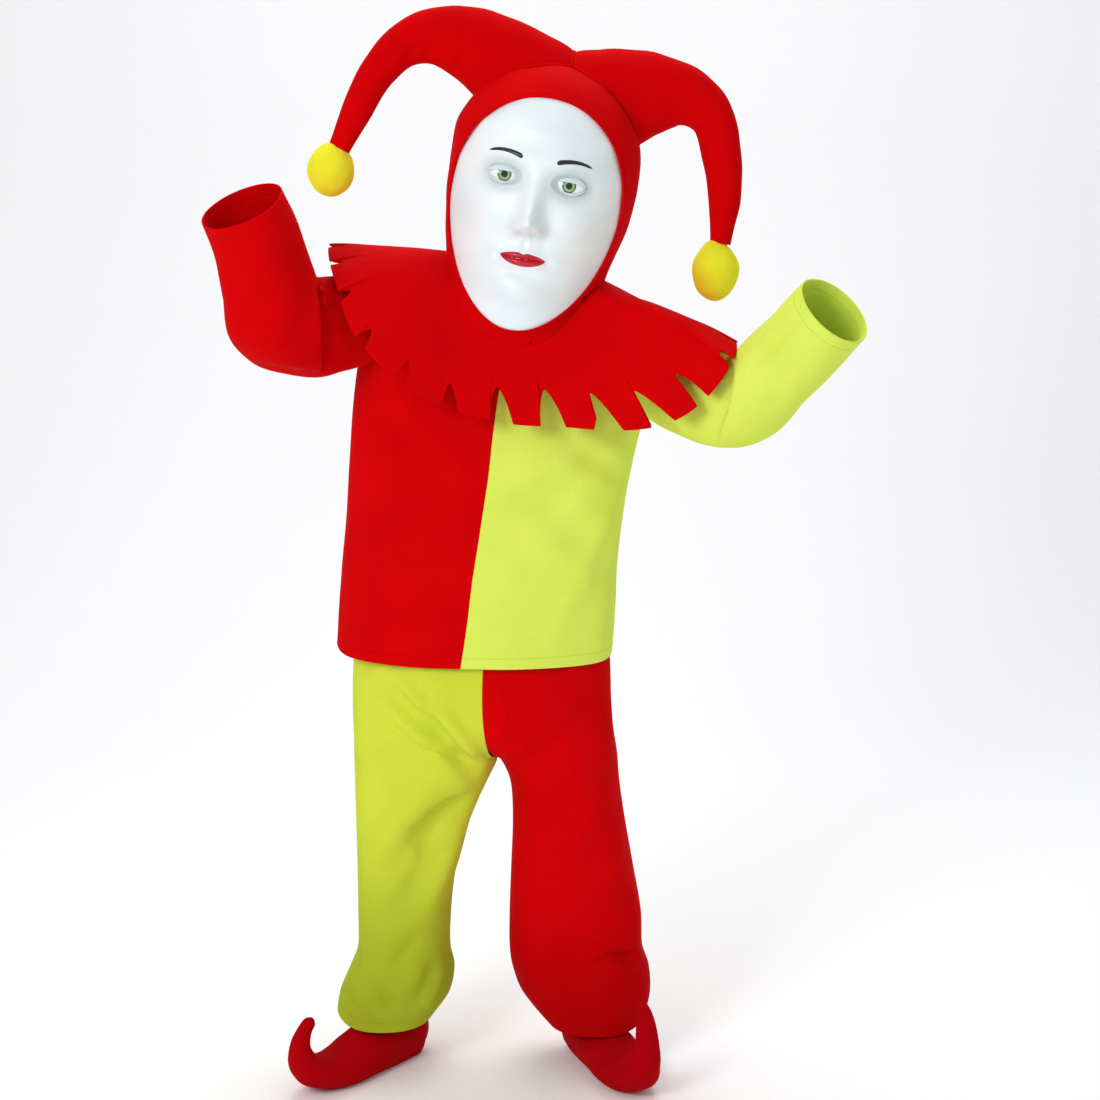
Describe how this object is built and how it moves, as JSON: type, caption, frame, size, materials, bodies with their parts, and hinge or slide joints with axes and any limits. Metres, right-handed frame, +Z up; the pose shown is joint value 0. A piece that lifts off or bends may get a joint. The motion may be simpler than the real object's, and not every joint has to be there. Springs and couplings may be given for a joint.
{
  "type": "clown mascot costume",
  "caption": "Two-colour jester clown costume, hollow in a worn pose: hood with stuffed horns and a moulded mask, dagged cape, jacket, trousers and curled shoes.",
  "frame": {"origin": "between the wearer's shoulders at the base of the neck, where the costume hangs on its wearer, 1345 mm above the ground", "axes": "+Z up, the wearer faces -Y, +X towards the wearer's left"},
  "size_m": [1.0322, 0.5114, 1.7955],
  "materials": {
    "felt_red": "matt felt",
    "felt_yellow": "matt felt",
    "pompom_yellow": "soft plush",
    "mask_white": "satin moulded shell with painted features",
    "glass_eye_green": "glossy domed eye",
    "shoe_red": "matt felt",
    "sole_red": "thick stiffened felt"
  },
  "bodies": {
    "root": {"jacket_front_left": "felt_yellow", "jacket_front_right": "felt_red", "jacket_back_right": "felt_red", "jacket_back_left": "felt_yellow", "sleeve_right": "felt_red", "sleeve_left": "felt_yellow", "cape": "felt_red", "hood_front": "felt_red", "hood_back": "felt_red", "mask": "mask_white", "eye_right": "glass_eye_green", "eye_left": "glass_eye_green", "horn_right": "felt_red", "horn_left": "felt_red", "pompom_right": "pompom_yellow", "pompom_left": "pompom_yellow", "waistband": "felt_red", "trousers_front_right": "felt_yellow", "trousers_back_right": "felt_yellow", "trousers_front_left": "felt_red", "trousers_back_left": "felt_red", "shoe_upper_right": "shoe_red", "shoe_sole_right": "sole_red", "shoe_upper_left": "shoe_red", "shoe_sole_left": "sole_red"}
  },
  "joints": []
}
